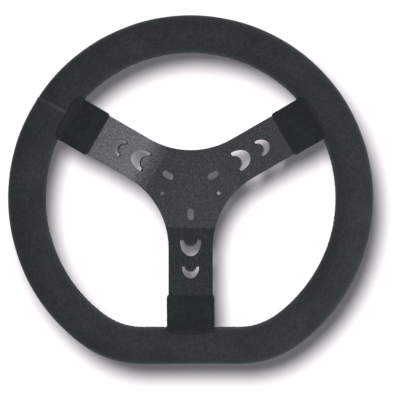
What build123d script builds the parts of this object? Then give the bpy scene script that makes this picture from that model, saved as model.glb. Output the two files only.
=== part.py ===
from build123d import *

import os
from math import acos, cos, degrees, radians, sin, sqrt, tan

# A three-spoke, flat-bottom steering wheel for a racing kart, in millimetres.
#
# Frame: +X is the driver's right, +Z the top of the wheel, -Y faces the driver. The origin is the
# centre of the three bolt slots, on the hub's back face, where the steering boss bolts on.
#
# The hub and spokes are one bent plate. Tabs welded to a tubular hoop are riveted behind the spoke
# ends. Foam surrounds the hoop, a suede cover laced along the inner edge surrounds the foam, and a
# suede sleeve hides each joint between spoke and rim.

# ---- driving dimensions ----

# Grip: its D-shaped centreline, and its section.
overall_width = 330.0
grip_radial = 34.0
grip_axial = 30.0
hub_above_rim_centre = 8.6
flat_below_hub = 142.2
corner_radius = 75.0

# Hub and spoke plate, measured from the hub centre.
plate_thickness = 4.0
spoke_width = 40.0
blend_radius = 74.0
first_bend = 36.0
second_bend = 108.0
spoke_reach = 122.0
spoke_slope = 16.0
bend_radius = 6.0
spoke_end_radius = 3.0
spoke_angles = {"right": 30.0, "left": 150.0, "bottom": 270.0}
spoke_count = len(spoke_angles)

# Hub slots and small holes.
slot_circle_radius = 23.5
slot_width = 5.6
slot_length = 10.4
small_hole_pitch = 50.8
small_hole_diameter = 3.2
small_holes_below_centre = 4.5

# Crescents, along the sloping face from the first bend: their tips, the bottom of their hollow
# side, their far end, their width, the radius of their hollow side and the centre of their outline.
crescents = [
    {"tips": 11.0, "hollow": 16.5, "crown": 26.9, "width": 18.7, "bite_radius": 6.5, "middle": 13.4},
    {"tips": 35.7, "hollow": 40.5, "crown": 47.8, "width": 15.2, "bite_radius": 5.5, "middle": 37.2},
]
crescent_tip_radius = 0.7
crescent_corners = 4

# Hoop, its joint, and the tabs and rivets behind the spoke ends.
tube_radius = 8.0
tube_wall = 1.5
spigot_length = 60.0
spigot_gap = 0.1
spigot_wall = 1.5
tab_thickness = 3.0
tab_width = 36.0
tab_start = 109.5
tab_reach = 137.0
rivet_reach = 115.5
rivet_spacing = 22.0
rivet_radius = 2.4
rivet_head_radius = 4.2
rivet_gap = 0.05
countersink_angle = 90.0

# Soft parts.
cover_thickness = 1.2
cover_opening_gap = 0.6
lacing_slit = 0.8
lacing_thread = 0.6
lacing_gap = 0.1
lacing_end_angle = 11.0
seam_angle = 145.7
seam_groove_width = 0.9
seam_groove_depth = 0.5
seam_thread_gap = 0.1
seam_inner_limit = 13.0
wrap_start = 96.0
wrap_end = 132.0
wrap_thickness = 1.3
wrap_gap = 0.1
collar_start = 118.0
collar_end = 130.5
stitch_start = 98.5
stitch_end = 124.0
stitch_groove_width = 1.0
stitch_groove_depth = 0.6
stitch_thread_gap = 0.1

# ---- derived dimensions ----

rim_radius = (overall_width - grip_radial) / 2
spoke_rise = (second_bend - first_bend) * tan(radians(spoke_slope))
slope_thickness = plate_thickness / cos(radians(spoke_slope))
stack_back = spoke_rise - tab_thickness
stack_front = spoke_rise + plate_thickness
rim_forward = (stack_back + stack_front) / 2
flat_below_rim_centre = flat_below_hub - hub_above_rim_centre
corner_drop = flat_below_rim_centre - corner_radius
flat_half_length = sqrt((rim_radius - corner_radius) ** 2 - corner_drop**2)
corner_sweep = degrees(acos(corner_drop / (rim_radius - corner_radius)))
rim_centre = (0, -hub_above_rim_centre)
rim_plane = Plane.XZ.offset(rim_forward)
section_plane = Plane(
    origin=(0, -rim_forward, -flat_below_hub), x_dir=(0, 1, 0), z_dir=(1, 0, 0)
)

# The blends lie midway between spokes, and come nearest to the hub centre at this distance. A strip
# this wide each side of a spoke's centreline reaches past them, and stays clear of the other slopes.
blend_turn = radians(180 / spoke_count)
blend_distance = (spoke_width / 2 + blend_radius) / sin(blend_turn) - blend_radius
strip_overlap = 0.5
strip_half_width = blend_distance * sin(blend_turn) + strip_overlap

# Rivets: the height of their flush heads, and their places on a spoke's own plane.
head_height = rivet_head_radius - rivet_radius
rivet_places = [(rivet_reach, rivet_spacing / 2), (rivet_reach, -rivet_spacing / 2)]

# Sleeves: half their width, and the length of the stitched seam along their back.
wrap_half_width = spoke_width / 2 + wrap_gap + wrap_thickness
stitch_length = stitch_end - stitch_start
stitch_middle = ((stitch_start + stitch_end) / 2, 0)

# Larger than anything it has to cut right across.
well_clear = 400.0


def face_plane(angle, forward, facing=-1):
    """Plane parallel to the hub face, x along the spoke, facing the driver (-1) or the boss (+1)."""
    turn = radians(angle)
    return Plane(
        origin=(0, -forward, 0), x_dir=(cos(turn), 0, sin(turn)), z_dir=(0, facing, 0)
    )


def side_plane(angle):
    """Plane through a spoke's centreline, its x axis along the spoke and its y axis along +Y."""
    turn = radians(angle)
    return Plane(origin=(0, 0, 0), x_dir=(cos(turn), 0, sin(turn)), z_dir=(-sin(turn), 0, cos(turn)))


def slope_plane(angle):
    """Plane in the middle of a sloping spoke, its origin at the first bend and x along the spoke."""
    turn = radians(angle)
    slope = radians(spoke_slope)
    start = (first_bend * cos(turn), -plate_thickness / 2, first_bend * sin(turn))
    along = (cos(slope) * cos(turn), -sin(slope), cos(slope) * sin(turn))
    normal = (-sin(slope) * cos(turn), -cos(slope), -sin(slope) * sin(turn))
    return Plane(origin=start, x_dir=along, z_dir=normal)


def draw_rim_line(grow=0.0):
    """D-shaped loop, drawn from the middle of the flat, this far outside the grip's centreline."""
    flat = -flat_below_hub - grow
    corner_centre = -flat_below_hub + corner_radius
    Line((0, flat), (flat_half_length, flat))
    CenterArc((flat_half_length, corner_centre), corner_radius + grow, -90, corner_sweep)
    CenterArc(rim_centre, rim_radius + grow, corner_sweep - 90, 360 - 2 * corner_sweep)
    CenterArc((-flat_half_length, corner_centre), corner_radius + grow, 270 - corner_sweep, corner_sweep)
    Line((-flat_half_length, flat), (0, flat))


def carry_round_rim(section):
    """Make a ring from its section at the middle of the flat: straight, two corners, long arc."""
    toward_driver = (0, -1, 0)
    corner_height = corner_radius - flat_below_hub
    rim_axis = Axis((0, 0, -hub_above_rim_centre), toward_driver)
    extrude(section, amount=flat_half_length, both=True)
    for hand in (1, -1):
        corner_start = section.moved(Location((hand * flat_half_length, 0, 0)))
        corner_axis = Axis((hand * flat_half_length, 0, corner_height), (0, -hand, 0))
        revolve(corner_start, axis=corner_axis, revolution_arc=corner_sweep, clean=False)
    top = section.moved(Location((0, 0, flat_below_rim_centre + rim_radius)))
    arc_start = top.rotate(rim_axis, corner_sweep - 180)
    revolve(arc_start, axis=rim_axis, revolution_arc=360 - 2 * corner_sweep, clean=False)


def wrap_side(gap):
    """Corners of a sleeve's side view, this far outside the spoke and tab that it covers."""
    slope = tan(radians(spoke_slope))
    front_at_start = -(wrap_start - first_bend) * slope - (plate_thickness + slope_thickness) / 2
    back_at_start = front_at_start + slope_thickness
    return [
        (wrap_start, front_at_start - gap),
        (second_bend, -stack_front - gap),
        (wrap_end, -stack_front - gap),
        (wrap_end, -stack_back + gap),
        (tab_start, -stack_back + gap),
        (wrap_start, back_at_start + gap),
    ]


def save(piece, label):
    """Name a finished piece and write it."""
    piece.part.label = label
    export_step(piece.part, f"parts/{label}.step")


os.makedirs("parts", exist_ok=True)

# ---- helper shapes, not pieces ----

# Thick-walled ring that trims the tabs to the round of the tube.
with BuildSketch(section_plane) as trimmer_section:
    Circle(tube_radius)
    Circle(tube_radius / 2, mode=Mode.SUBTRACT)
with BuildPart() as tab_trimmer:
    carry_round_rim(trimmer_section.sketch)

# The whole grip and a little more, which the sleeves stop short of.
with BuildSketch(section_plane) as grip_section:
    Ellipse(grip_axial / 2 + wrap_gap, grip_radial / 2 + wrap_gap)
with BuildPart() as grip_envelope:
    carry_round_rim(grip_section.sketch)

# The skin of a sleeve where it laps over the grip, as a ring all the way round.
with BuildSketch(section_plane) as collar_section:
    Ellipse(grip_axial / 2 + wrap_gap + wrap_thickness, grip_radial / 2 + wrap_gap + wrap_thickness)
    Ellipse(grip_axial / 2 + wrap_gap, grip_radial / 2 + wrap_gap, mode=Mode.SUBTRACT)
with BuildPart() as collar_ring:
    carry_round_rim(collar_section.sketch)

# A clear way for each tab through what surrounds the hoop.
with BuildPart() as tab_ways:
    for angle in spoke_angles.values():
        with BuildSketch(face_plane(angle, stack_back - cover_opening_gap)):
            with Locations((rim_radius / 2, 0)):
                Rectangle(rim_radius, tab_width + 2 * cover_opening_gap)
        extrude(amount=tab_thickness + 2 * cover_opening_gap)

# ---- hub and spoke plate ----

with BuildPart() as spoke_plate:
    # Three strips, each with its two bends, that meet in the flat hub.
    for angle in spoke_angles.values():
        with BuildSketch(side_plane(angle)):
            with BuildLine():
                FilletPolyline(
                    (-plate_thickness, -plate_thickness / 2),
                    (first_bend, -plate_thickness / 2),
                    (second_bend, -plate_thickness / 2 - spoke_rise),
                    (spoke_reach + bend_radius, -plate_thickness / 2 - spoke_rise),
                    radius=bend_radius,
                )
            trace(line_width=plate_thickness)
        extrude(amount=strip_half_width, both=True)
    # The cut outline: straight-sided spokes with a long blend from each to the next.
    with BuildSketch(Plane.XZ.offset(-plate_thickness)) as plate_outline:
        with PolarLocations(spoke_reach / 2, spoke_count, start_angle=spoke_angles["right"]):
            Rectangle(spoke_reach, spoke_width)
        fillet(plate_outline.vertices().sort_by_distance((0, 0, 0))[:spoke_count], blend_radius)
        end_corners = plate_outline.vertices().sort_by_distance((0, 0, 0))[-2 * spoke_count :]
        fillet(end_corners, spoke_end_radius)
    extrude(amount=stack_front + 2 * plate_thickness, mode=Mode.INTERSECT)
    # Bolt slots, along the spokes, and the two small holes.
    with BuildSketch(Plane.XZ):
        with PolarLocations(slot_circle_radius, spoke_count, start_angle=spoke_angles["right"]):
            SlotOverall(slot_length, slot_width)
        with Locations((0, -small_holes_below_centre)):
            with GridLocations(small_hole_pitch, 0, 2, 1):
                Circle(small_hole_diameter / 2)
    extrude(amount=plate_thickness, mode=Mode.SUBTRACT)
    # Crescents, cut square to the sloping faces, with their hollow sides toward the hub.
    for angle in spoke_angles.values():
        for crescent in crescents:
            with BuildSketch(slope_plane(angle)) as cut_out:
                with Locations((crescent["middle"], 0)):
                    Ellipse(crescent["crown"] - crescent["middle"], crescent["width"] / 2)
                with Locations((crescent["hollow"] - crescent["bite_radius"], 0)):
                    Circle(crescent["bite_radius"], mode=Mode.SUBTRACT)
                with Locations((crescent["tips"] - well_clear / 2, 0)):
                    Rectangle(well_clear, well_clear, mode=Mode.SUBTRACT)
                fillet(cut_out.vertices().sort_by(Axis.X)[:crescent_corners], crescent_tip_radius)
            extrude(amount=plate_thickness, both=True, mode=Mode.SUBTRACT)
    # Countersunk rivet holes near the spoke ends.
    for angle in spoke_angles.values():
        with Locations(face_plane(angle, stack_front)):
            with Locations(*rivet_places):
                CounterSinkHole(
                    rivet_radius + rivet_gap,
                    rivet_head_radius + rivet_gap,
                    depth=2 * plate_thickness,
                    counter_sink_angle=countersink_angle,
                )
save(spoke_plate, "spoke_plate")

# ---- hoop ----

with BuildSketch(section_plane) as tube_section:
    Circle(tube_radius)
    Circle(tube_radius - tube_wall, mode=Mode.SUBTRACT)
with BuildPart() as rim_hoop:
    carry_round_rim(tube_section.sketch)
save(rim_hoop, "rim_hoop")

with BuildPart() as hoop_joint_spigot:
    with BuildSketch(section_plane):
        Circle(tube_radius - tube_wall - spigot_gap)
        Circle(tube_radius - tube_wall - spigot_gap - spigot_wall, mode=Mode.SUBTRACT)
    extrude(amount=spigot_length / 2, both=True)
save(hoop_joint_spigot, "hoop_joint_spigot")

# ---- tabs and rivets ----

for side, angle in spoke_angles.items():
    with BuildPart() as spoke_tab:
        with BuildSketch(face_plane(angle, stack_back)):
            with Locations(((tab_start + tab_reach) / 2, 0)):
                Rectangle(tab_reach - tab_start, tab_width)
        extrude(amount=tab_thickness)
        with Locations(face_plane(angle, stack_back, facing=1)):
            with Locations(*rivet_places):
                CounterSinkHole(
                    rivet_radius + rivet_gap,
                    rivet_head_radius + rivet_gap,
                    depth=2 * tab_thickness,
                    counter_sink_angle=countersink_angle,
                )
        add(tab_trimmer.part, mode=Mode.SUBTRACT)
    save(spoke_tab, f"spoke_tab_{side}")

    low_end = (Align.CENTER, Align.CENTER, Align.MIN)
    with BuildPart() as spoke_rivets:
        with Locations(face_plane(angle, stack_back)):
            with Locations(*rivet_places):
                Cylinder(rivet_radius, plate_thickness + tab_thickness, align=low_end)
                Cone(rivet_head_radius, rivet_radius, head_height, align=low_end)
        with Locations(face_plane(angle, stack_front - head_height)):
            with Locations(*rivet_places):
                Cone(rivet_radius, rivet_head_radius, head_height, align=low_end)
    save(spoke_rivets, f"spoke_rivets_{side}")

# ---- grip ----

with BuildSketch(section_plane) as padding_section:
    Ellipse(grip_axial / 2 - cover_thickness, grip_radial / 2 - cover_thickness)
    Circle(tube_radius, mode=Mode.SUBTRACT)
with BuildPart() as rim_padding:
    carry_round_rim(padding_section.sketch)
    add(tab_ways.part, mode=Mode.SUBTRACT)
save(rim_padding, "rim_padding")

seam_turn = radians(seam_angle)
seam_centre = (
    rim_radius * cos(seam_turn),
    -rim_forward,
    rim_radius * sin(seam_turn) - hub_above_rim_centre,
)
seam_plane = Plane(
    origin=seam_centre,
    x_dir=(cos(seam_turn), 0, sin(seam_turn)),
    z_dir=(-sin(seam_turn), 0, cos(seam_turn)),
)


def draw_seam_loop(outer, inner):
    """Band around the grip's section, open on its inner side, between two distances from the skin."""
    Ellipse(grip_radial / 2 - outer, grip_axial / 2 - outer)
    Ellipse(grip_radial / 2 - inner, grip_axial / 2 - inner, mode=Mode.SUBTRACT)
    with Locations((-seam_inner_limit - grip_radial / 2, 0)):
        Rectangle(grip_radial, 2 * grip_axial, mode=Mode.SUBTRACT)


with BuildSketch(section_plane) as skin_section:
    Ellipse(grip_axial / 2, grip_radial / 2)
    Ellipse(grip_axial / 2 - cover_thickness, grip_radial / 2 - cover_thickness, mode=Mode.SUBTRACT)
with BuildPart() as rim_cover:
    carry_round_rim(skin_section.sketch)
    add(tab_ways.part, mode=Mode.SUBTRACT)
    # The slit that the lacing closes runs all along the inner edge.
    with BuildSketch(rim_plane):
        with BuildLine():
            draw_rim_line(-grip_radial / 2 + 2 * cover_thickness)
        make_face()
        with BuildLine():
            draw_rim_line(-grip_radial / 2 - cover_thickness)
        make_face(mode=Mode.SUBTRACT)
    extrude(amount=lacing_slit / 2, both=True, mode=Mode.SUBTRACT)
    # The closing seam's thread lies in a shallow groove.
    with BuildSketch(seam_plane):
        draw_seam_loop(-cover_thickness, seam_groove_depth)
    extrude(amount=seam_groove_width / 2, both=True, mode=Mode.SUBTRACT)
save(rim_cover, "rim_cover")

with BuildPart() as cover_seam_thread:
    with BuildSketch(seam_plane):
        draw_seam_loop(0, seam_groove_depth - seam_thread_gap)
    extrude(amount=seam_groove_width / 2 - seam_thread_gap, both=True)
save(cover_seam_thread, "cover_seam_thread")

lacing_runs = {"top": (30.0, 150.0), "left": (150.0, 270.0), "right": (270.0, 390.0)}
for run, (from_spoke, to_spoke) in lacing_runs.items():
    start = radians(from_spoke + lacing_end_angle)
    end = radians(to_spoke - lacing_end_angle)
    with BuildPart() as rim_lacing:
        with BuildSketch(rim_plane):
            with BuildLine():
                draw_rim_line(-grip_radial / 2 + cover_thickness - lacing_gap)
            make_face()
            with BuildLine():
                draw_rim_line(-grip_radial / 2 + lacing_gap)
            make_face(mode=Mode.SUBTRACT)
            with BuildLine():
                Polyline(
                    (0, 0),
                    (well_clear * cos(start), well_clear * sin(start)),
                    (well_clear * cos(end), well_clear * sin(end)),
                    close=True,
                )
            make_face(mode=Mode.INTERSECT)
        extrude(amount=lacing_thread / 2, both=True)
    save(rim_lacing, f"rim_lacing_{run}")

# ---- sleeves over the spoke ends ----

for side, angle in spoke_angles.items():
    # The part that laps over the grip, on the driver's side only.
    with BuildPart() as collar:
        with BuildSketch(face_plane(angle, 0)):
            with Locations(((collar_start + collar_end) / 2, 0)):
                Rectangle(collar_end - collar_start, 2 * wrap_half_width)
        extrude(amount=2 * rim_forward)
        add(collar_ring.part, mode=Mode.INTERSECT)

    stitch_plane = face_plane(angle, stack_back - wrap_gap - wrap_thickness)
    with BuildPart() as spoke_wrap:
        with BuildSketch(side_plane(angle)):
            with BuildLine():
                Polyline(*wrap_side(wrap_gap + wrap_thickness), close=True)
            make_face()
        extrude(amount=wrap_half_width, both=True)
        add(collar.part)
        with BuildSketch(side_plane(angle)):
            with BuildLine():
                Polyline(*wrap_side(wrap_gap), close=True)
            make_face()
        extrude(amount=spoke_width / 2 + wrap_gap, both=True, mode=Mode.SUBTRACT)
        add(grip_envelope.part, mode=Mode.SUBTRACT)
        with BuildSketch(stitch_plane):
            with Locations(stitch_middle):
                Rectangle(stitch_length, stitch_groove_width)
        extrude(amount=stitch_groove_depth, both=True, mode=Mode.SUBTRACT)
    save(spoke_wrap, f"spoke_wrap_{side}")

    with BuildPart() as wrap_stitching:
        with BuildSketch(stitch_plane):
            with Locations(stitch_middle):
                Rectangle(
                    stitch_length - 2 * stitch_thread_gap,
                    stitch_groove_width - 2 * stitch_thread_gap,
                )
        extrude(amount=stitch_groove_depth - stitch_thread_gap)
    save(wrap_stitching, f"wrap_stitching_{side}")
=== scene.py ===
from math import acos, atan2, cos, pi, radians, sin, sqrt, tan

import bpy
import numpy as np
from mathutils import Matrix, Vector, noise


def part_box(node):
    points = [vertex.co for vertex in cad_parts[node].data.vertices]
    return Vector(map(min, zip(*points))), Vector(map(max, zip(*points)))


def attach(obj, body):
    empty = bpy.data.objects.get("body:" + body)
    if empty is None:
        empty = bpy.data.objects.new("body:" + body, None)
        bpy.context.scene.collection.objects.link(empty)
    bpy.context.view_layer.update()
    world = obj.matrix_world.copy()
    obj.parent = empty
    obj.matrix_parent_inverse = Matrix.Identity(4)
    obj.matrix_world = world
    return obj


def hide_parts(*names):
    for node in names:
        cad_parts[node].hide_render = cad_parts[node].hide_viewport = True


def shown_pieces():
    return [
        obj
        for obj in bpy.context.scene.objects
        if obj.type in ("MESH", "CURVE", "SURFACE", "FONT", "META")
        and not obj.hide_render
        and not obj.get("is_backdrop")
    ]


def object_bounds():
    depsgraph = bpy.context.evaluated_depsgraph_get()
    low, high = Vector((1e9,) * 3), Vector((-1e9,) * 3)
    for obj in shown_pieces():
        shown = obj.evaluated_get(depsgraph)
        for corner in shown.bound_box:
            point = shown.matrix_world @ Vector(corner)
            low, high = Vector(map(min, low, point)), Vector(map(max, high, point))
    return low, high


# A suede kart steering wheel. The CAD frame gives the plate, hoop, tabs, rivets and foam; the suede
# cover, its lacing and seam, and the three sleeves with their stitching are made here.
#
# Lengths are in millimetres until a mesh is made, when MM turns them into the frame's metres.
# +X is the driver's right, +Z the top of the wheel and -Y faces the driver; "forward" means -Y.
#
# A place on the grip is a distance along its centreline, anticlockwise from the middle of the flat,
# and an arc: a distance along its skin from the inner edge, positive over the driver's side and
# negative behind.

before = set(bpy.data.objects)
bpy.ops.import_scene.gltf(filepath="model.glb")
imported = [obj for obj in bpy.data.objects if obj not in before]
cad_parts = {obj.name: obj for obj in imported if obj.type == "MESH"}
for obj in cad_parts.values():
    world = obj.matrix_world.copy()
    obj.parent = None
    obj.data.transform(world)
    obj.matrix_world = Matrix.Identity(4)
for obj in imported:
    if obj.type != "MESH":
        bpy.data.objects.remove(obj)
cad_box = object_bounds()

MM = 0.001


def box_mm(node):
    """Lowest and highest corner of a CAD node, in millimetres."""
    low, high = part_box(node)
    return np.array(low) / MM, np.array(high) / MM


# ---- places, from the frame ----

hoop_low, hoop_high = box_mm("rim_hoop")
cover_low, cover_high = box_mm("rim_cover")
wrap_low, wrap_high = box_mm("spoke_wrap_bottom")
plate_low, _ = box_mm("spoke_plate")
_, tab_high = box_mm("spoke_tab_bottom")

tube_radius = (hoop_high[1] - hoop_low[1]) / 2
rim_radius = hoop_high[0] - tube_radius
rim_forward = -(hoop_low[1] + hoop_high[1]) / 2
rim_centre_z = hoop_high[2] - tube_radius - rim_radius
flat_z = hoop_low[2] + tube_radius
grip_axial = (cover_high[1] - cover_low[1]) / 2
grip_radial = cover_high[0] - rim_radius
stack_front = -plate_low[1]
stack_back = -tab_high[1]
sleeve_start = -wrap_high[2]
flap_end = -wrap_low[2]
sleeve_half_width = wrap_high[0]

# How the plate is bent and cut, and how the grip's corners turn: the CAD design's own dimensions.
corner_radius = 75.0
first_bend = 36.0
second_bend = 108.0
tab_start = 109.5
spoke_slope = radians(16)
plate_thickness = 4.0
plate_half_width = 20.0
cover_thickness = 1.2
spoke_angles = {"right": radians(30), "left": radians(150), "bottom": radians(270)}

corner_drop = rim_centre_z - flat_z - corner_radius
flat_half_length = sqrt((rim_radius - corner_radius) ** 2 - corner_drop**2)
corner_sweep = acos(corner_drop / (rim_radius - corner_radius))
corner_end = flat_half_length + corner_radius * corner_sweep
rim_length = 2 * (corner_end + rim_radius * (pi - corner_sweep))

# ---- soft parts ----

# The cover's slit, and the wider opening in its back edge for each tab.
slit_half_arc = 0.4
tab_opening_arc = 4.9
tab_opening_half_width = 19.0
tab_opening_fade = 3.0

# Lacing: its holes stand in turn on the driver's side of the slit and behind it.
lacing_pitch = 11.2
lacing_hole_arc = 4.2
lacing_thread_radius = 0.5
lacing_clear_of_spoke = 25.5

# The cover's closing seam slants across the grip by this share of the arc past its pivot. Its crease
# lies beside its ridge, on the upper side.
cover_seam_angle = radians(145.7)
cover_seam_slant = 0.09
cover_seam_pivot = 15.0
cover_seam_crease = 1.5

# Sleeves: the skin's inner and outer faces above the plate, tab and grip, its hem and its flap, and
# how far past the flap the cover is still pressed down.
sleeve_inner = 0.1
sleeve_outer = sleeve_half_width - plate_half_width
sleeve_edge_radius = 0.4
hem_width = 5.0
hem_corner = 2.1
flap_half_width = 21.8
flap_corner = 3.4
flap_paring = 0.75
flap_fade = 2.5

# Stitches of the sleeves: crosses over the back seam, and a row along each flap's edge.
back_seam_half_width = 1.9
back_seam_pitch = 4.2
edge_stitch_length = 5.2
edge_stitch_pitch = 7.9
edge_stitch_inset = 1.7
edge_row_half_width = 19.0
sleeve_thread_radius = 0.36


# ---- the grip's surface ----


def rim_line(distance):
    """Points (x, z) of the grip's centreline, and the way out from the wheel's middle at each."""
    distance = np.mod(distance, rim_length)
    hand = np.where(distance > rim_length / 2, -1.0, 1.0)
    distance = np.where(distance > rim_length / 2, rim_length - distance, distance)
    corner_turn = np.clip((distance - flat_half_length) / corner_radius, 0, corner_sweep)
    arc_turn = np.maximum((distance - corner_end) / rim_radius, 0)
    turn = corner_turn + arc_turn
    on_arc = distance > corner_end
    centre_x = np.where(on_arc, 0, np.minimum(distance, flat_half_length))
    centre_z = np.where(on_arc, rim_centre_z, flat_z + corner_radius)
    radius = np.where(on_arc, rim_radius, corner_radius)
    outward = np.stack([hand * np.sin(turn), -np.cos(turn)], axis=-1)
    x = hand * (centre_x + radius * np.sin(turn))
    z = centre_z - radius * np.cos(turn)
    return np.stack([x, z], axis=-1), outward


def grip_points(distance, turn, lift=0.0):
    """Points of the grip's skin. turn goes from its inner edge over the driver's side and round."""
    centre, outward = rim_line(distance)
    radial = -(grip_radial + lift) * np.cos(turn)
    forward = (grip_axial + lift) * np.sin(turn)
    x = centre[..., 0] + radial * outward[..., 0]
    z = centre[..., 1] + radial * outward[..., 1]
    y = -rim_forward - forward + 0 * x
    return np.stack([x, y, z], axis=-1)


# Turns round half of the grip's section, and the arc that the skin has run at each.
half_turns = np.linspace(0, pi, 721)
half_steps = np.hypot(grip_radial * np.diff(np.cos(half_turns)), grip_axial * np.diff(np.sin(half_turns)))
half_arcs = np.concatenate([[0], np.cumsum(half_steps)])
half_girth = half_arcs[-1]


def turn_at(arc):
    """Turn round the grip's section at an arc."""
    return np.sign(arc) * np.interp(np.abs(arc), half_arcs, half_turns)


def rim_centre(side):
    """The rim's centre in a spoke's own directions: along it, and across it."""
    return rim_centre_z * sin(spoke_angles[side]), rim_centre_z * cos(spoke_angles[side])


def reach_on_rim(side, across, radial):
    """How far along a spoke's direction the rim surface this far outside its centreline lies."""
    if side == "bottom":
        return -flat_z + radial + 0 * across
    centre_along, centre_across = rim_centre(side)
    return centre_along + np.sqrt((rim_radius + radial) ** 2 - (across - centre_across) ** 2)


def radial_at(side, along, across):
    """How far outside the grip's centreline a point given in a spoke's own directions lies."""
    if side == "bottom":
        return along + flat_z + 0 * across
    centre_along, centre_across = rim_centre(side)
    return np.hypot(along - centre_along, across - centre_across) - rim_radius


def distance_at(x, z):
    """Distance along the rim line of the point nearest to a place outside the corners."""
    if abs(x) < flat_half_length and z < rim_centre_z:
        return x % rim_length
    turn = atan2(abs(x), rim_centre_z - z)
    along = corner_end + (turn - corner_sweep) * rim_radius
    return along if x > 0 else rim_length - along


def spoke_distance(side):
    """Distance along the rim line where a spoke's middle meets it."""
    along = float(reach_on_rim(side, 0.0, 0.0))
    angle = spoke_angles[side]
    return distance_at(along * cos(angle), along * sin(angle))


def rim_gap(distance, place):
    """Signed distance along the rim from a place, the short way round."""
    return (distance - place + rim_length / 2) % rim_length - rim_length / 2


spoke_places = {side: spoke_distance(side) for side in spoke_angles}
cover_seam_place = distance_at(
    rim_radius * cos(cover_seam_angle), rim_radius * sin(cover_seam_angle) + rim_centre_z
)


def seam_place(arc):
    """Distance along the rim of the closing seam's ridge, which slants a little across the grip."""
    return cover_seam_place + cover_seam_slant * (np.abs(arc) - cover_seam_pivot)


def lacing_run(first, last):
    """Start, end and number of stitches of the lacing from one spoke's sleeve to the next one's."""
    start = spoke_places[first] + lacing_clear_of_spoke
    end = (spoke_places[last] - lacing_clear_of_spoke - start) % rim_length + start
    return start, end, round((end - start) / lacing_pitch)


lacing_runs = {
    "right": lacing_run("bottom", "right"),
    "top": lacing_run("right", "left"),
    "left": lacing_run("left", "bottom"),
}


# ---- mesh helpers ----


def bumpiness(points, size):
    """Smooth, fixed unevenness between -1 and 1 for an array of points, with bumps about this size."""
    places = points.reshape(-1, 3) / size
    values = [noise.noise(Vector(place)) for place in places]
    return np.array(values).reshape(points.shape[:-1])


def swell(distance, width):
    """One at nothing, fading smoothly with distance."""
    return np.exp(-((distance / width) ** 2))


def ramp(value, length):
    """Nothing below zero, rising straight to one at this length."""
    return np.clip(value / length, 0, 1)


def grid_faces(rows, columns, wrap_rows):
    """Quads of a grid of points whose columns close on themselves, and rows too if asked."""
    used_rows = np.arange(rows if wrap_rows else rows - 1)
    row, column = np.meshgrid(used_rows, np.arange(columns), indexing="ij")
    here = row * columns
    below = (row + 1) % rows * columns
    beside = (column + 1) % columns
    corners = [here + column, here + beside, below + beside, below + column]
    return np.stack(corners, axis=-1).reshape(-1, 4)


def outward_faces(points, faces):
    """Faces turned, if need be, so that the closed mesh's volume is positive."""
    places = points.reshape(-1, 3)
    first, second, third = (places[[face[corner] for face in faces]] for corner in range(3))
    volume = np.einsum("ij,ij->i", first, np.cross(second, third)).sum()
    way_round = -1 if volume < 0 else 1
    return [list(face)[::way_round] for face in faces]


def add_piece(name, points, faces, replaced, highlight_and_wear=None):
    """Make a smooth mesh piece from points in millimetres, fastened to the wheel.

    highlight_and_wear says how far each point's nap is painted lighter, from 0 to 1: a painted highlight.
    """
    mesh = bpy.data.meshes.new(name)
    mesh.from_pydata((points.reshape(-1, 3) * MM).tolist(), [], [list(face) for face in faces])
    mesh.polygons.foreach_set("use_smooth", [True] * len(mesh.polygons))
    mesh.update()
    if highlight_and_wear is not None:
        mesh.attributes.new("highlight_and_wear", "FLOAT", "POINT").data.foreach_set("value", highlight_and_wear.ravel())
    piece = bpy.data.objects.new(name, mesh)
    bpy.context.scene.collection.objects.link(piece)
    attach(piece, "root")
    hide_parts(replaced)
    return piece


def thread_mesh(paths, radius, sides, twist):
    """Points and faces of two-ply threads along paths, each closed at both ends.

    twist is the length in which the two plies go once round each other.
    """
    ply_depth = 0.16
    any_way = (0.3, 0.5, 0.8)
    around = np.linspace(0, 2 * pi, sides, endpoint=False)
    all_points = []
    all_faces = []
    start = 0
    for path in paths:
        tangents = np.gradient(path, axis=0)
        tangents /= np.linalg.norm(tangents, axis=1)[:, None]
        steps = np.linalg.norm(np.diff(path, axis=0), axis=1)
        gone = np.concatenate([[0], np.cumsum(steps)])
        across = np.cross(tangents[0], any_way)
        rings = []
        for point, tangent, length in zip(path, tangents, gone):
            across = across - tangent * np.dot(across, tangent)
            across /= np.linalg.norm(across)
            up = np.cross(tangent, across)
            ply = radius * (1 + ply_depth * np.cos(2 * around - 2 * pi * length / twist))
            ring = np.outer(ply * np.cos(around), across) + np.outer(ply * np.sin(around), up)
            rings.append(point + ring)
        points = np.concatenate(rings)
        faces = grid_faces(len(path), sides, False).tolist()
        faces.append(list(range(sides))[::-1])
        faces.append([(len(path) - 1) * sides + corner for corner in range(sides)])
        faces = outward_faces(points - points.mean(0), faces)
        all_points.append(points)
        all_faces += [[start + corner for corner in face] for face in faces]
        start += len(points)
    return np.concatenate(all_points), all_faces


# ---- rim cover ----


def near_spokes(distance, half_width, fade):
    """One within this distance of a spoke's middle along the rim, fading to nothing outside it."""
    near = np.zeros_like(distance)
    for place in spoke_places.values():
        gap = np.abs(rim_gap(distance, place))
        near = np.maximum(near, ramp(half_width + fade - gap, fade))
    return near * near * (3 - 2 * near)


def under_flap(distance):
    """One under the sleeves' flaps, fading to nothing beside them."""
    return near_spokes(distance, flap_half_width, flap_fade)


def zigzag(phase):
    """A line that swings straight from one to minus one and back in each stitch."""
    return 1 - 4 * np.abs(phase - np.round(phase))


def nearest_lacing(distance, arc, gap_in_stitch):
    """The least gap between each place and the lacing, over its three runs.

    gap_in_stitch gives the gap from how far into its stitch a place is, and the stitches' pitch.
    """
    nearest = np.full(arc.shape, np.inf)
    for start, end, count in lacing_runs.values():
        pitch = (end - start) / count
        gone = (distance - start) % rim_length
        gap = gap_in_stitch((gone / pitch) % 1.0, pitch)
        in_run = gone < end - start + pitch / 2
        nearest = np.where(in_run, np.minimum(nearest, gap), nearest)
    return nearest


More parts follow.
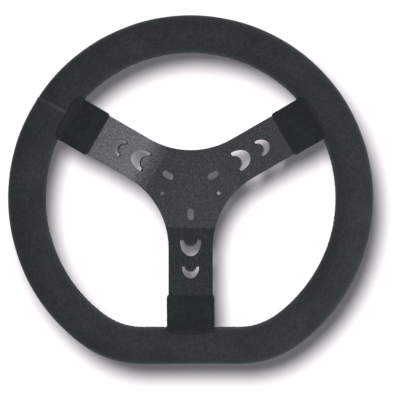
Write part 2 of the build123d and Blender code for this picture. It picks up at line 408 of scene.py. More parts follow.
def hole_step(distance, arc):
    """Distance along the rim from the nearest lacing hole on the same side of the slit."""

    def step(phase, pitch):
        # Holes on the driver's side sit at whole pitches, and those behind at half pitches.
        return np.where(arc > 0, np.abs(phase - np.round(phase)), np.abs(phase - 0.5)) * pitch

    return nearest_lacing(distance, arc, step)


def thread_gap(distance, arc):
    """Distance of skin points from the nearest laced thread."""

    def gap(phase, pitch):
        slant = pitch / 2 / np.hypot(pitch / 2, 2 * lacing_hole_arc)
        return np.abs(arc - lacing_hole_arc * zigzag(phase)) * slant

    return nearest_lacing(distance, arc, gap)


def laced_lift(distance, arc):
    """What the lacing does to the skin: it rolls the edges in, and pulls down each hole and thread."""
    roll_depth, roll_width = 0.9, 1.0
    ridge_height, ridge_arc, ridge_width, ridge_to_hole = 0.22, 2.6, 2.2, 3.0
    hole_depth, hole_width = 0.62, 1.25
    groove_depth, groove_width, groove_reach = 0.5, 0.75, 5.0
    pucker_depth, pucker_width, pucker_widening = 0.2, 1.5, 0.18
    pucker_arc, pucker_reach = 4.0, 7.0
    away = np.abs(arc)
    step = hole_step(distance, arc)
    hole = np.hypot(step, away - lacing_hole_arc)
    lift = -roll_depth * swell(away, roll_width)
    lift += ridge_height * swell(away - ridge_arc, ridge_width) * ramp(hole, ridge_to_hole)
    lift -= hole_depth * swell(hole, hole_width)
    lift -= groove_depth * swell(thread_gap(distance, arc), groove_width) * swell(away, groove_reach)
    # Soft creases run out from each hole and die away.
    crease = swell(step, pucker_width + pucker_widening * away)
    return lift - pucker_depth * crease * swell(away - pucker_arc, pucker_reach)


def seam_lift(distance, arc):
    """The closing seam: a rolled edge with a crease on its upper side."""
    ridge_height, ridge_width = 0.42, 1.2
    crease_depth, crease_width = 0.5, 0.7
    start_arc, start_fade = 4.0, 5.0
    past_seam = rim_gap(distance, seam_place(arc))
    ridge = ridge_height * swell(past_seam, ridge_width)
    crease = crease_depth * swell(past_seam + cover_seam_crease, crease_width)
    return (ridge - crease) * ramp(np.abs(arc) - start_arc, start_fade)


def cover_lift(distance, arc):
    """How far the suede's outer face stands above the plain grip."""
    # Heights of the cover's uneven swells, and how far apart they are.
    swells = ((0.22, 42.0), (0.09, 13.0), (0.035, 4.5))
    pressed_arc, pressed_fade, pressed_depth = 22.0, 6.0, 0.12
    thinnest = 0.15
    places = grip_points(distance, turn_at(arc))
    lift = sum(height * bumpiness(places, size) for height, size in swells)
    lift += laced_lift(distance, arc) + seam_lift(distance, arc)
    # Under the sleeves' flaps the suede is pressed flat.
    pressed = under_flap(distance) * ramp(pressed_arc - np.abs(arc), pressed_fade)
    lift = lift * (1 - pressed) - pressed_depth * pressed
    return np.maximum(lift, thinnest - cover_thickness)


def cover_highlight(distance, arc):
    """How far the nap is painted lighter, as a painted highlight along the seam's ridge and the laced edges.
    """
    seam_highlight, seam_width = 0.75, 1.35
    inner_arc, inner_fade = 8.0, 8.0
    outer_reach, outer_fade, least = 3.0, 12.0, 0.25
    laced_highlight, laced_arc, laced_width = 0.35, 2.4, 1.6
    away = np.abs(arc)
    places = grip_points(distance, turn_at(arc))
    # Painted highlight on the seam's ridge and the laced edges, broken into patches.
    patchy = np.clip(0.75 + 0.9 * bumpiness(places, 5.0), 0, 1)
    ridge = seam_highlight * swell(rim_gap(distance, seam_place(arc)), seam_width)
    ridge *= ramp(away - inner_arc, inner_fade)
    ridge *= np.clip((half_girth + outer_reach - away) / outer_fade, least, 1)
    laced = laced_highlight * swell(away - laced_arc, laced_width) * (1 - under_flap(distance))
    return np.clip(ridge + laced, 0, 1) * patchy


def rim_stations():
    """Distances along the rim for the cover's sections, closer together at the closing seam."""
    near_seam, coarse, fine = 7.0, 1.25, 0.35
    seam_part = np.arange(cover_seam_place - near_seam, cover_seam_place + near_seam, fine)
    rest_length = rim_length - (seam_part[-1] + fine - seam_part[0])
    count = round(rest_length / coarse)
    rest = seam_part[-1] + fine + np.arange(count) * rest_length / count
    return np.concatenate([seam_part, rest])


def make_rim_cover():
    """The suede skin: one closed sheet round the grip with its two edges at the inner slit."""
    stations = rim_stations()
    # Shares of the way from a slit edge to the outer edge, closer together near the slit.
    share = np.linspace(0, 1, 42)
    share = 0.35 * share + 0.65 * share**2.4
    at_tabs = near_spokes(stations, tab_opening_half_width, tab_opening_fade)[:, None]
    front_edge = slit_half_arc + 0 * at_tabs
    back_edge = front_edge + (tab_opening_arc - slit_half_arc) * at_tabs
    front_arcs, back_arcs = (edge + share * (half_girth - edge) for edge in (front_edge, back_edge))
    outer_arcs = np.concatenate([front_arcs, -back_arcs[:, -2::-1]], axis=1)
    distance = np.repeat(stations[:, None], outer_arcs.shape[1], axis=1)
    outer = grip_points(distance, turn_at(outer_arcs), cover_lift(distance, outer_arcs))
    # The inner face has a third of the columns, and lies just clear of the foam.
    clear_of_foam = 0.05
    inner_arcs = outer_arcs[:, ::-3]
    inner = grip_points(distance[:, ::-3], turn_at(inner_arcs), clear_of_foam - cover_thickness)
    points = np.concatenate([outer, inner], axis=1)
    # Painted highlight on the outer face, none on the inner face.
    painted_highlight = np.concatenate([cover_highlight(distance, outer_arcs), 0 * inner_arcs], axis=1)
    faces = outward_faces(points, grid_faces(points.shape[0], points.shape[1], True))
    return add_piece("suede_rim_cover", points, faces, "rim_cover", highlight_and_wear=painted_highlight)


# ---- lacing and the cover's closing seam ----


def dive(count, sharpness):
    """Nothing along the middle of a stitch of this many points, rising to one at both ends."""
    return np.abs(np.linspace(-1, 1, count)) ** sharpness


def make_lacing(run):
    """Thread that zigzags from hole to hole across the slit between two sleeves."""
    points_across = 22
    rise, dive_depth, lowest = 0.5 * lacing_thread_radius, 1.1, -0.6
    run_start, run_end, count = lacing_runs[run]
    pitch = (run_end - run_start) / count
    phase = np.linspace(0, count, count * 2 * points_across + 1)
    distance = run_start + phase * pitch
    arc = lacing_hole_arc * zigzag(phase)
    # The thread bridges the slit and dives into each hole.
    lift = rise - dive_depth * zigzag(phase) ** 8
    base = np.maximum(cover_lift(distance, arc), lowest)
    path = grip_points(distance, turn_at(arc), base + lift)
    points, faces = thread_mesh([path], lacing_thread_radius, sides=10, twist=1.6)
    return add_piece(f"lacing_{run}", points, faces, f"rim_lacing_{run}")


def make_seam_stitches():
    """Short stitches all along the crease of the cover's closing seam."""
    stitch, gap, radius = 2.4, 1.3, 0.26
    end_arc = 9.0
    rise, dive_depth = 0.12, 0.5
    stitch_points = 12
    paths = []
    for start in np.arange(end_arc, 2 * half_girth - end_arc, stitch + gap):
        along = np.linspace(start, start + stitch, stitch_points)
        arc = np.where(along > half_girth, along - 2 * half_girth, along)
        distance = seam_place(arc) - cover_seam_crease
        lift = cover_lift(distance, arc) + rise - dive_depth * dive(stitch_points, 6)
        paths.append(grip_points(distance, turn_at(arc), lift))
    points, faces = thread_mesh(paths, radius, sides=8, twist=1.1)
    return add_piece("cover_seam_stitches", points, faces, "cover_seam_thread")


# ---- sleeves ----


def plate_at_start(face):
    """How far forward the plate's front (face 1) or back (face -1) is where a sleeve starts."""
    rise = (sleeve_start - first_bend) * tan(spoke_slope)
    return rise + (plate_thickness + face * plate_thickness / cos(spoke_slope)) / 2


def sleeve_front(along):
    """How far forward the plate's front face is along a spoke under its sleeve."""
    at_start = plate_at_start(1)
    before_start = 2 * sleeve_start - second_bend
    fronts = (2 * at_start - stack_front, at_start, stack_front)
    return np.interp(along, (before_start, sleeve_start, second_bend), fronts)


def sleeve_back(along):
    """How far forward the back of what a sleeve covers is: the plate's, then the tab's."""
    sag = 0.9
    to_tab = ramp(along - sleeve_start, tab_start - sleeve_start)
    back = np.interp(along, (sleeve_start, tab_start), (plate_at_start(-1), stack_back))
    return back + sag * np.sin(pi * to_tab)


def sleeve_loop():
    """Round a sleeve's section: place along each face (-1 to 1, both ways) and the way its skin faces."""
    wide_columns, tall_columns, corner_steps = 33, 9, 6
    wide = np.linspace(-1, 1, wide_columns)
    tall = np.linspace(-1, 1, tall_columns)
    corner = np.linspace(0, pi / 2, corner_steps + 1)[1:-1]
    # In the middle of the wide faces, columns this far either side make room for the back seam.
    beside_seam = np.array([0.2, 0.4, 0.7, 1.0, 1.4]) / sleeve_half_width
    wide = wide[np.abs(wide) > beside_seam[-1]]
    wide = np.sort(np.concatenate([wide, -beside_seam, [0.0], beside_seam]))
    parts = [
        (-wide, 1, pi / 2),
        (-1, 1, pi / 2 + corner),
        (-1, -tall, pi),
        (-1, -1, pi + corner),
        (wide, -1, 1.5 * pi),
        (1, -1, 1.5 * pi + corner),
        (1, tall, 0),
        (1, 1, corner),
    ]
    parts = [np.broadcast_arrays(*part) for part in parts]
    return (np.concatenate(column) for column in zip(*parts))


def sleeve_points(side, run, wide, tall, facing, offset):
    """Points (along, across, forward) of a sleeve's plain skin, and the lines' lengths past the turn.

    run is the distance from where the skin turns on to the grip: along the spoke before it, along
    the grip's surface after it. offset is the skin's height above what it covers.
    """
    side_lag = 0.12
    radial = grip_radial + offset
    axial = grip_axial + offset
    edge_radius = sleeve_edge_radius + offset - sleeve_inner
    across = wide * (plate_half_width + offset - edge_radius) + edge_radius * np.cos(facing)
    # Where this line of the skin meets the grip.
    half_height = (stack_front - stack_back) / 2 + offset - edge_radius
    forward = (stack_front + stack_back) / 2 + tall * half_height + edge_radius * np.sin(facing)
    start_turn = np.arcsin((forward - rim_forward) / axial)
    meeting = reach_on_rim(side, across, -radial * np.cos(start_turn))
    # Where it ends on the grip.
    end_across = across * flap_half_width / sleeve_half_width
    radial_end = radial_at(side, flap_end - flap_corner * wide**8, end_across)
    full_turn = np.arccos(-np.minimum(radial_end, 0) / radial)
    end_turn = full_turn * np.clip(tall + side_lag * np.sin(facing), -1, 1)
    flap = np.hypot(end_across - across, (end_turn - start_turn) * axial)

    def on_spoke(distance):
        along = meeting + distance
        front_here = sleeve_front(along) + offset
        back_here = sleeve_back(along) - offset
        half = (front_here - back_here) / 2 - edge_radius
        level = (front_here + back_here) / 2 + tall * half + edge_radius * np.sin(facing)
        return np.stack([along, across + 0 * along, level], axis=-1)

    def on_grip(distance):
        share = distance / flap
        turn = start_turn + share * (end_turn - start_turn)
        across_here = across + share * (end_across - across)
        along = reach_on_rim(side, across_here, -radial * np.cos(turn))
        return np.stack([along, across_here, rim_forward + axial * np.sin(turn)], axis=-1)

    # The skin bridges the corner instead of following it: each point is a mean over a short run,
    # which is longer on the flat faces than on the sides.
    bridge = 1.7 + 1.6 * np.sin(facing) ** 2
    steps = np.linspace(-1, 1, 9)
    total = 0
    for step in steps:
        place = run + step * bridge
        before_turn = (place < 0)[..., None]
        total += np.where(before_turn, on_spoke(place), on_grip(np.maximum(place, 0)))
    return total / len(steps), meeting, flap


def raised(skin, facing, lift):
    """A skin's grid of points moved out along its own normals by this much."""
    down_rows = np.gradient(skin, axis=0)
    round_loop = np.roll(skin, -1, axis=1) - np.roll(skin, 1, axis=1)
    normal = np.cross(down_rows, round_loop)
    normal /= np.linalg.norm(normal, axis=-1)[..., None]
    outward = np.stack([0 * facing, np.cos(facing), np.sin(facing)], axis=-1)
    if np.einsum("ijk,jk->ij", normal, outward)[0].mean() < 0:
        normal = -normal
    return skin + normal * lift[..., None]


def to_frame(side, skin):
    """Points in a spoke's own directions, as x, y and z."""
    angle = spoke_angles[side]
    along, across, forward = skin[..., 0], skin[..., 1], skin[..., 2]
    x = along * cos(angle) - across * sin(angle)
    z = along * sin(angle) + across * cos(angle)
    return np.stack([x, -forward, z], axis=-1)


def puffy_lift(side, skin, from_hem, to_edge, from_turn, wide, facing):
    """A sleeve's soft swelling, and the small folds that gather where it turns on to the grip."""
    fullness, crown = 0.12, 0.4
    puff_height, puff_size = 0.2, 9.0
    grain_height, grain_size = 0.05, 3.0
    fold_height, fold_place, fold_reach = 0.28, -2.5, 6.0
    # Folds run across the sleeve: they are short along the spoke, and long across it and in depth.
    fold_sizes = np.array([3.2, 15.0, 9.0])
    hem_fade, edge_fade = 3.0, 4.0
    places = to_frame(side, skin)
    lift = fullness + puff_height * bumpiness(places, puff_size)
    lift += grain_height * bumpiness(places, grain_size)
    lift += crown * (1 - wide**2) * np.abs(np.sin(facing))
    lift += fold_height * bumpiness(skin / fold_sizes, 1.0) * swell(from_turn - fold_place, fold_reach)
    return lift * ramp(from_hem, hem_fade) * ramp(to_edge, edge_fade)


def sewn_lift(from_hem, to_edge, wide, facing):
    """A sleeve's doubled hem, pared edge, sunken stitches and back seam."""
    hem_height, hem_height_on_faces, hem_ramp = 0.1, 0.2, 0.8
    hem_groove_depth, hem_groove_past, hem_groove_width = 0.25, 0.4, 0.6
    paring_width = 3.0
    stitch_depth, stitch_width = 0.22, 0.8
    lip_height, lip_place, lip_width = 0.3, 1.6, 1.0
    seam_depth, seam_width, seam_hem_fade, seam_edge_fade = 0.8, 0.5, 2.0, 5.0
    flat_face = np.abs(np.sin(facing))
    back_face = np.sin(facing) < -0.9
    from_seam = np.abs(wide * sleeve_half_width)
    # The hem is folded double, and the flap's edge is pared thin.
    hem = (hem_height + hem_height_on_faces * flat_face) * ramp(hem_width - from_hem, hem_ramp)
    lift = hem * ramp(from_hem, hem_ramp)
    hem_groove = swell(from_hem - hem_width - hem_groove_past, hem_groove_width)
    lift -= hem_groove_depth * hem_groove * flat_face
    lift -= flap_paring * ramp(paring_width - to_edge, paring_width) ** 2
    # The stitches along the flap sink in a little, and so do the two edges of the back seam.
    lift -= stitch_depth * swell(to_edge - edge_stitch_inset, stitch_width) * flat_face
    lift += lip_height * swell(from_seam - lip_place, lip_width) * back_face
    seam = seam_depth * swell(from_seam, seam_width) * back_face
    return lift - seam * ramp(from_hem, seam_hem_fade) * ramp(to_edge, seam_edge_fade)


def hem_start(wide, offset):
    """How far along the spoke a sleeve's hem starts, on each line of its skin: its corners are round."""
    corner_fullness = 0.98
    across = np.abs(wide) * (plate_half_width + offset)
    corner_in = np.clip(across - (sleeve_half_width - hem_corner), 0, hem_corner)
    return sleeve_start + hem_corner - np.sqrt(hem_corner**2 - corner_fullness * corner_in**2)


def make_sleeve(side):
    """Suede sleeve over a spoke's end, with a flap that climbs the grip all round."""
    hem_highlight, flap_highlight, highlight_width = 0.55, 0.4, 0.9
    hem_overhang = 0.25
    wide, tall, facing = sleeve_loop()
    # Shares of the way from hem to turn, closer together at both ends, and from turn to flap edge.
    parts = ((0, 0.2, 12), (0.2, 0.8, 19), (0.8, 1, 13))
    body = np.concatenate([np.linspace(*part, endpoint=False) for part in parts])
    past_turn = np.linspace(0, 1, 16)
    grids = []
    for offset in (sleeve_outer, sleeve_inner):
        _, meeting, flap = sleeve_points(side, 0 * wide, wide, tall, facing, offset)
        start_run = hem_start(wide, offset) - meeting
        run = np.concatenate([start_run * (1 - body[:, None]), flap * past_turn[:, None]])
        skin, _, _ = sleeve_points(side, run, wide, tall, facing, offset)
        if offset == sleeve_outer:
            from_hem = run - start_run
            to_edge = flap - run
            lift = puffy_lift(side, skin, from_hem, to_edge, run, wide, facing)
            lift = lift + sewn_lift(from_hem, to_edge, wide, facing)
            skin = raised(skin, facing, lift)
            # Painted highlight along the hem and the flap's edge.
            painted_highlight = hem_highlight * swell(from_hem, highlight_width) + flap_highlight * swell(to_edge, highlight_width)
        grids.append(skin)
    outer, inner = grids
    # Both cut edges are rounded over half way between the two faces.
    hem_edge = (outer[0] + inner[0]) / 2 - np.array([hem_overhang, 0, 0])
    flap_edge = (outer[-1] + inner[-1]) / 2
    # The rounded cut edges get the flap's painted highlight too.
    edge_highlight = np.full_like(painted_highlight[:1], flap_highlight)
    points = to_frame(side, np.concatenate([outer, flap_edge[None], inner[::-1], hem_edge[None]]))
    highlight_and_wear = np.concatenate([painted_highlight, edge_highlight, 0 * inner[..., 0], edge_highlight])
    faces = outward_faces(points, grid_faces(points.shape[0], points.shape[1], True))
    name = f"suede_sleeve_{side}"
    return add_piece(name, points, faces, f"spoke_wrap_{side}", highlight_and_wear=highlight_and_wear)


def back_seam_path(side):
    """Zigzag of thread up a sleeve's back seam, that dives into the suede at each side."""
    points_per_stitch = 24
    hem_gap, grip_gap = 2.0, 3.0
    rise, dive_depth = 0.75, 0.95
    seam_start = sleeve_start + hem_gap
    seam_end = reach_on_rim(side, 0.0, -grip_radial) - grip_gap
    count = round((seam_end - seam_start) / back_seam_pitch)
    phase = np.linspace(0, count, count * points_per_stitch + 1)
    swing = zigzag(phase)
    along = seam_start + phase * (seam_end - seam_start) / count
    height = rise - dive_depth * swing**8
    forward = sleeve_back(along) - sleeve_outer - height
    return np.stack([along, back_seam_half_width * swing, forward], axis=-1)


def edge_stitch_path(side, start, way):
    """One stitch along a flap's edge, on the driver's side (way 1) or behind (way -1)."""
    stitch_points = 14
    dive_depth = 0.5
    across = np.linspace(start, start + edge_stitch_length, stitch_points)
    radial = radial_at(side, flap_end - edge_stitch_inset, across)
    turn = np.arccos(-radial / (grip_radial + sleeve_outer))
    rise = sleeve_outer - dive_depth * dive(stitch_points, 6)
    along = reach_on_rim(side, across, -(grip_radial + rise) * np.cos(turn))
    forward = rim_forward + way * (grip_axial + rise) * np.sin(turn)
    return np.stack([along, across, forward], axis=-1)


def make_sleeve_stitching(side):
    """Cross stitches up a sleeve's back seam, and a row of stitches along each flap."""
    starts = np.arange(-edge_row_half_width, edge_row_half_width - edge_stitch_length, edge_stitch_pitch)
    paths = [back_seam_path(side)]
    paths += [edge_stitch_path(side, start, way) for way in (1, -1) for start in starts]
    paths = [to_frame(side, path) for path in paths]
    points, faces = thread_mesh(paths, sleeve_thread_radius, sides=8, twist=1.3)
    name = f"sleeve_stitching_{side}"
    return add_piece(name, points, faces, f"wrap_stitching_{side}")


# ---- materials ----


def opaque(colour):
    """A colour with full alpha; a socket stays as it is."""
    return (*colour, 1.0) if isinstance(colour, tuple) else colour


class Finish:
    """A material with short ways to add the nodes that its look needs."""

    def __init__(self, name, roughness, metallic=0.0):
        self.material = bpy.data.materials.new(name)
        self.material.use_nodes = True
        self.tree = self.material.node_tree
        self.surface = self.tree.nodes["Principled BSDF"]
        self.set("Roughness", roughness)
        self.set("Metallic", metallic)
        self.place = self.node("TexCoord", {}, "Object")
        self.normal = None

    def put(self, socket, value):
        """Link or set one input."""
        if isinstance(value, bpy.types.NodeSocket):
            self.tree.links.new(value, socket)
        else:
            socket.default_value = value

    def node(self, kind, inputs, output=0, **settings):
        """One output of a new node, whose inputs are linked to a socket or set to a value."""
        made = self.tree.nodes.new("ShaderNode" + kind)
        for setting, value in settings.items():
            setattr(made, setting, value)
        for socket, value in inputs.items():
            self.put(made.inputs[socket], value)
        return made.outputs[output]

    def set(self, socket, value):
        """Set or link an input of the surface."""
        self.put(self.surface.inputs[socket], value)

    def colour(self, value):
        """Set or link the base colour."""
        self.set("Base Color", opaque(value))

    def stretched(self, x, y, z):
        """The object's coordinates, stretched so that a pattern is drawn out along an axis."""
        return self.node("Mapping", {"Vector": self.place, "Scale": (x, y, z)})

    def dot(self, first, second):
        """How much of one direction or place lies along another."""
        return self.node("VectorMath", {0: first, 1: second}, "Value", operation="DOT_PRODUCT")

    def product(self, first, second):
        """Two values multiplied."""
        return self.node("Math", {0: first, 1: second}, operation="MULTIPLY")

    def mix(self, factor, first, second):
        """A colour between two colours or sockets."""
        inputs = {0: factor, 6: opaque(first), 7: opaque(second)}
        return self.node("Mix", inputs, 2, data_type="RGBA")

    def grain(self, size, detail=3.0, roughness=0.55, vector=None):
        """Cloudy noise with patches about this many millimetres across."""
        inputs = {"Vector": vector or self.place, "Scale": 1 / (size * MM)}
        inputs.update({"Detail": detail, "Roughness": roughness})
        return self.node("TexNoise", inputs, "Fac")

    def cells(self, size):
        """Distance to the middle of round cells about this many millimetres across."""
        return self.node("TexVoronoi", {"Vector": self.place, "Scale": 1 / (size * MM)}, "Distance")

    def spread(self, value, low=0.0, high=1.0, start=0.35, end=0.65):
        """A value's range from start to end, stretched to run from low to high."""
        inputs = {"Value": value, "From Min": start, "From Max": end, "To Min": low, "To Max": high}
        return self.node("MapRange", inputs, "Result")

    def steps(self, length, stops):
        """A length in metres turned into a value along straight lines between stops, up to 100 mm."""
        longest = 100.0
        level = self.node("ValToRGB", {"Fac": self.product(length, 1 / (longest * MM))}, "Color")
        elements = level.node.color_ramp.elements
        while len(elements) < len(stops):
            elements.new(0.5)
        for element, (place, value) in zip(elements, stops):
            element.position = place / longest
            element.color = (value, value, value, 1.0)
        return level

    def round_edges(self, width):
        """Shade edges as if rounded over, in millimetres; returns one along them, nothing elsewhere."""
        self.normal = self.node("Bevel", {"Radius": width * MM}, "Normal", samples=8)
        real = self.node("NewGeometry", {}, "Normal")
        return self.spread(self.dot(self.normal, real), low=1.0, high=0.0, start=0.82, end=0.995)

    def raise_by(self, height, depth):
        """Add a bump this many millimetres deep, on top of any bump already there."""
        inputs = {"Height": height, "Strength": 1.0, "Distance": depth * MM}
        if self.normal is not None:
            inputs["Normal"] = self.normal
        self.normal = self.node("Bump", inputs)
        self.set("Normal", self.normal)


def times(colour, factor):
    """A colour made darker or lighter."""
    return tuple(factor * channel for channel in colour)


def suede_finish(name, dark, light, sheen):
    """Suede: a mottled nap brushed this way and that, with fine fibres, painted lighter as a painted
    highlight along ridges and edges.
    """
    finish = Finish(name, roughness=0.95)
    brushed = finish.spread(finish.grain(size=34.0), start=0.3, end=0.7)
    lengthwise = finish.stretched(1.0, 1.0, 0.55)
    streaks = finish.grain(size=9.0, detail=5.0, roughness=0.65, vector=lengthwise)
    patches = finish.spread(streaks, start=0.32, end=0.68)
    tufts = finish.spread(finish.grain(size=2.5, roughness=0.65), start=0.36, end=0.64)
    fibres = finish.grain(size=0.5, detail=4.0, roughness=0.75)
    nap = finish.spread(fibres, start=0.38, end=0.62)
    broad = finish.mix(brushed, dark, light)
    mottled = finish.mix(finish.product(patches, 0.5), broad, light)
    tufted = finish.mix(finish.product(tufts, 0.6), mottled, times(dark, 0.3))
    fibrous = finish.mix(finish.product(nap, 0.38), tufted, times(light, 2.0))
    # Painted highlight: the nap is painted lighter where the piece's attribute asks for it, on ridges and
    # edges.
    highlight_and_wear = finish.node("Attribute", {}, "Fac", attribute_name="highlight_and_wear")
    finish.colour(finish.mix(highlight_and_wear, fibrous, times(light, 2.0)))
    finish.set("Roughness", finish.spread(patches, low=0.86, high=1.0, start=0.0, end=1.0))
    finish.set("Specular IOR Level", 0.12)
    finish.set("Sheen Weight", sheen)
    finish.set("Sheen Roughness", 0.4)
    finish.set("Sheen Tint", (0.8, 0.85, 0.85, 1.0))
    finish.raise_by(finish.grain(size=2.4, detail=4.0, roughness=0.6), depth=0.22)
    finish.raise_by(fibres, depth=0.16)
    return finish.material


def plate_finish():
    """Black powder coat with a fine pebbled grain, worn a little lighter along its edges."""
    finish = Finish("powder_coat", roughness=0.4)
    edges = finish.round_edges(width=1.0)
    pebbles = finish.grain(size=1.15, roughness=0.65)
    speckle = finish.spread(pebbles, start=0.45, end=0.62)
    cloud = finish.spread(finish.grain(size=3.6), start=0.36, end=0.64)
    scuffs = finish.spread(finish.grain(size=2.2, detail=5.0, roughness=0.7), start=0.45, end=0.7)
    speckled = finish.mix(speckle, (0.0002, 0.0013, 0.0016), (0.0325, 0.0425, 0.0450))
    clouded = finish.mix(finish.product(cloud, 0.5), speckled, (0.0055, 0.008, 0.0085))
    highlight_and_wear = finish.product(finish.product(edges, scuffs), 0.15)
    finish.colour(finish.mix(highlight_and_wear, clouded, (0.09, 0.095, 0.1)))
    finish.set("Roughness", finish.spread(pebbles, low=0.52, high=0.36))
    # The coat's gloss at distances out along the left spoke, which is dull just beyond its bend.
    gloss = ((35.5, 0.47), (36.5, 0.24), (41.0, 0.28), (54.0, 0.62), (95.0, 0.48))
    left = spoke_angles["left"]
    out_along_left = finish.dot(finish.place, (cos(left), 0, sin(left)))
    finish.set("Specular IOR Level", finish.steps(out_along_left, gloss))
    finish.raise_by(finish.cells(size=1.7), depth=0.07)
    finish.raise_by(pebbles, depth=0.19)
    return finish.material


def steel_finish():
    """Drawn steel tube and tabs: fine lines, faint stains and a dull shine."""
    finish = Finish("drawn_steel", roughness=0.34, metallic=1.0)
    lines = finish.grain(size=0.5, roughness=0.6, vector=finish.stretched(0.15, 1.0, 1.0))
    stains = finish.spread(finish.grain(size=9.0, detail=5.0, roughness=0.65), end=0.7)
    bright = finish.mix(lines, (0.30, 0.30, 0.31), (0.46, 0.46, 0.47))
    finish.colour(finish.mix(finish.product(stains, 0.55), bright, (0.16, 0.145, 0.13)))
    finish.set("Roughness", finish.spread(stains, low=0.26, high=0.52, start=0.0, end=1.0))
    finish.raise_by(lines, depth=0.03)
    return finish.material


def rivet_finish():
    """Aluminium rivets: pale, with fine scratches."""
    finish = Finish("rivet_aluminium", roughness=0.32, metallic=1.0)
    across = finish.stretched(1.0, 0.3, 1.0)
    scratches = finish.grain(size=0.35, detail=4.0, roughness=0.7, vector=across)
    finish.colour(finish.mix(scratches, (0.52, 0.53, 0.54), (0.72, 0.73, 0.74)))
    finish.set("Roughness", finish.spread(scratches, low=0.24, high=0.46, start=0.3, end=0.7))
    finish.raise_by(scratches, depth=0.02)
    return finish.material


def foam_finish():
    """Moulded foam: dark grey, with open pores of mixed sizes, whose middles are painted darker as painted
    shade.
    """
    finish = Finish("grip_foam", roughness=0.85)
    pores = finish.cells(size=0.9)
    tone = finish.spread(finish.grain(size=5.0, detail=4.0), start=0.3, end=0.7)
    skin = finish.mix(tone, (0.030, 0.030, 0.031), (0.055, 0.055, 0.056))
    # Painted shade: the middle of each pore is painted darker.
    pore_shade = finish.spread(pores, low=0.8, high=0.0, start=0.1, end=0.45)
    finish.colour(finish.mix(pore_shade, skin, (0.012, 0.012, 0.012)))
    finish.raise_by(pores, depth=0.3)
    finish.raise_by(finish.grain(size=0.4, detail=2.0), depth=0.06)
    return finish.material


def thread_finish(name, dark, light):
    """Waxed black thread with its fibres and slightly lighter highs."""
    finish = Finish(name, roughness=0.6)
    fibres = finish.grain(size=0.18, roughness=0.6, vector=finish.stretched(1.0, 0.4, 0.4))
    finish.colour(finish.mix(fibres, dark, light))
    finish.set("Roughness", finish.spread(fibres, low=0.5, high=0.75, start=0.3, end=0.7))
    finish.raise_by(fibres, depth=0.05)
    return finish.material


def give(piece, material):
    """Put one material on a whole piece."""
    piece.data.materials.clear()
    piece.data.materials.append(material)


def soften_edges(piece, width):
    """Round a CAD part's hard edges slightly, as paint or deburring does."""
    weld = piece.modifiers.new("weld", "WELD")
    weld.merge_threshold = 0.005 * MM
    bevel = piece.modifiers.new("edge_round", "BEVEL")
    bevel.width = width * MM
    bevel.segments = 3
    bevel.limit_method = "ANGLE"
    bevel.angle_limit = radians(32)
    bevel.harden_normals = True


# ---- the wheel ----


def make_soft_pieces():
    """The cover, its lacing and seam, and the sleeves and their stitching."""
    grip_suede = suede_finish(
        "grip_suede", dark=(0.0118, 0.0142, 0.0142), light=(0.0285, 0.0325, 0.0335), sheen=0.26
    )
    sleeve_suede = suede_finish(
        "sleeve_suede", dark=(0.0094, 0.0124, 0.0125), light=(0.0168, 0.0211, 0.0212), sheen=0.08
    )
    thread = thread_finish("waxed_thread", dark=(0.010, 0.011, 0.011), light=(0.030, 0.032, 0.032))
    fine_thread = thread_finish("fine_thread", dark=(0.002, 0.003, 0.003), light=(0.007, 0.009, 0.009))
    give(make_rim_cover(), grip_suede)
    for run in lacing_runs:
        give(make_lacing(run), thread)
    give(make_seam_stitches(), thread)
    for side in spoke_angles:
        give(make_sleeve(side), sleeve_suede)
        give(make_sleeve_stitching(side), fine_thread)


def finish_hard_pieces():
    """Materials for the CAD's own plate, hoop, spigot, tabs, rivets and foam."""
    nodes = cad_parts
    give(nodes["spoke_plate"], plate_finish())
    soften_edges(nodes["spoke_plate"], width=0.6)
    steel = steel_finish()
    give(nodes["rim_hoop"], steel)
    give(nodes["hoop_joint_spigot"], steel)
    rivet_alloy = rivet_finish()
    for side in spoke_angles:
        give(nodes[f"spoke_tab_{side}"], steel)
        give(nodes[f"spoke_rivets_{side}"], rivet_alloy)
    give(nodes["rim_padding"], foam_finish())


# ---- stage, lights and camera, in metres ----

# How far behind the wheel the wall is, and how far right and down the wheel's shadow falls on it.
wall_distance = 0.42
shadow_right = 0.0080
shadow_down = 0.0124
ambient_light = 0.30
backdrop_light = 0.9
wall_colour = (0.524, 0.504, 0.517)
floor_colour = (0.8, 0.8, 0.8)
stage_reach = 3.0

# Suns on the stage alone, where they cast the wheel's shadow.
sun_distance = 2.0
stage_lights = (
    # name, the way it shines from, strength, blur of its shadow
    ("wall_key", (-shadow_right, -wall_distance, shadow_down), 5.49, radians(2.6)),
    ("floor_key", (-0.3, -0.5, 1.0), 2.6, radians(14)),
)

# Soft lights on the wheel alone. The first gives the left spoke its glare; the last two light the back.
white = (1.0, 1.0, 1.0)
wheel_lights = (
    # name, the way it shines from, distance, watts, size, colour
    ("glare_right_low", (0.459, -0.847, -0.265), 1.0, 6.5, 0.47, (1.0, 0.985, 1.06)),
    ("fill_left_low", (-0.459, -0.847, -0.265), 1.6, 4.1, 0.75, white),
    ("low_right", (0.62, -0.2, -0.75), 1.0, 1.2, 0.6, white),
    ("below", (0.0, -0.4, -0.9), 1.6, 1.9, 0.9, (1.0, 0.9, 0.9)),
    ("left_high", (-0.7, -0.3, 0.65), 1.6, 7.0, 0.9, white),
    ("right_high", (0.7, -0.3, 0.65), 1.6, 6.2, 0.9, white),
    ("left_side", (-0.95, -0.3, 0.0), 1.6, 1.7, 0.9, white),
    ("right_side", (0.95, -0.3, -0.1), 1.6, 2.2, 0.9, white),
    ("behind", (0.15, 0.75, 0.8), 1.8, 4.0, 1.0, white),
    ("back_fill", (-0.4, 0.9, 0.2), 1.8, 16.0, 1.2, white),
)
no_reflection = "back_fill"

# The view, straight along +Y, with the wheel a little left of its middle and above it.
view_width = 0.3614
view_middle_x = 0.00845
view_middle_z = -0.01057
camera_distance = 3.0


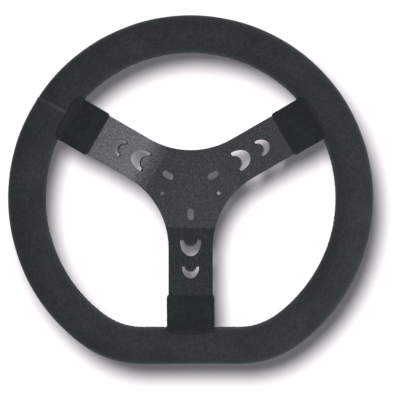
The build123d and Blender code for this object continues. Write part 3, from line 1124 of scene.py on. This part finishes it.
def stage_sheet(name, place, colour):
    """A plain sheet of the studio that is seen only from its front and casts no shadow.

    place turns the two directions of the sheet, in metres, into a point.
    """
    corners = ((-1, -1), (1, -1), (1, 1), (-1, 1))
    points = [place(right * stage_reach, up * stage_reach) for right, up in corners]
    mesh = bpy.data.meshes.new(name)
    mesh.from_pydata(points, [], [(0, 1, 2, 3)])
    sheet = bpy.data.objects.new(name, mesh)
    bpy.context.scene.collection.objects.link(sheet)
    sheet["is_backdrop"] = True
    finish = Finish(name, roughness=0.9)
    finish.colour(colour)
    finish.set("Specular IOR Level", 0.0)
    behind = finish.node("NewGeometry", {}, "Backfacing")
    clear = finish.node("BsdfTransparent", {})
    seen = finish.node("MixShader", {0: behind, 1: finish.surface.outputs[0], 2: clear})
    finish.put(finish.tree.nodes["Material Output"].inputs["Surface"], seen)
    give(sheet, finish.material)
    sheet.visible_shadow = False
    sheet.visible_diffuse = False
    sheet.visible_glossy = False
    return sheet


def light_group(name, members):
    """A collection that lights can be limited to."""
    group = bpy.data.collections.new(name)
    for member in members:
        group.objects.link(member)
    return group


def add_light(name, kind, way, distance, strength, receivers, **settings):
    """A light that shines from a direction towards the wheel's middle, on one group only."""
    light = bpy.data.lights.new(name, kind)
    light.energy = strength
    for setting, value in settings.items():
        setattr(light, setting, value)
    lamp = bpy.data.objects.new(name, light)
    bpy.context.scene.collection.objects.link(lamp)
    direction = Vector(way).normalized()
    middle = (cad_box[0] + cad_box[1]) / 2
    lamp.location = middle + direction * distance
    lamp.rotation_mode = "QUATERNION"
    lamp.rotation_quaternion = direction.to_track_quat("Z", "Y")
    lamp.light_linking.receiver_collection = receivers
    lamp.visible_camera = False
    return lamp


def make_lights(floor, wall):
    """One sun for the wall's shadow, one for the floor's, and soft lights round the wheel."""
    on_wall = light_group("lit_wall", [wall])
    on_floor = light_group("lit_floor", [floor])
    on_wheel = light_group("lit_wheel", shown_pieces())
    for (name, way, strength, blur), receivers in zip(stage_lights, (on_wall, on_floor)):
        add_light(name, "SUN", way, sun_distance, strength, receivers, angle=blur)
    for name, way, distance, watts, size, colour in wheel_lights:
        lamp = add_light(name, "AREA", way, distance, watts, on_wheel, shape="DISK", size=size, color=colour)
        lamp.visible_glossy = name != no_reflection


def make_world():
    """Pale surroundings: bright behind the wheel, and a dim even light on it."""
    world = bpy.data.worlds.new("studio")
    bpy.context.scene.world = world
    world.use_nodes = True
    tree = world.node_tree
    background = tree.nodes["Background"]
    background.inputs["Color"].default_value = (0.96, 0.98, 1.0, 1.0)
    seen = tree.nodes.new("ShaderNodeLightPath").outputs["Is Camera Ray"]
    level = tree.nodes.new("ShaderNodeMapRange")
    level.inputs["To Min"].default_value = ambient_light
    level.inputs["To Max"].default_value = backdrop_light
    tree.links.new(seen, level.inputs["Value"])
    tree.links.new(level.outputs["Result"], background.inputs["Strength"])


def make_camera():
    """A far camera without perspective, as the photograph's seems to be."""
    camera_data = bpy.data.cameras.new("camera")
    camera_data.type = "ORTHO"
    camera_data.ortho_scale = view_width
    camera = bpy.data.objects.new("camera", camera_data)
    bpy.context.scene.collection.objects.link(camera)
    camera.location = (view_middle_x, -camera_distance, view_middle_z)
    camera.rotation_euler = (pi / 2, 0, 0)
    bpy.context.scene.camera = camera
    bpy.context.scene.view_settings.view_transform = "Standard"


make_soft_pieces()
finish_hard_pieces()
floor = stage_sheet("floor", lambda x, y: (x, y, cad_box[0].z), floor_colour)
wall = stage_sheet("wall", lambda x, z: (x, wall_distance - rim_forward * MM, z), wall_colour)
make_world()
make_lights(floor, wall)
make_camera()
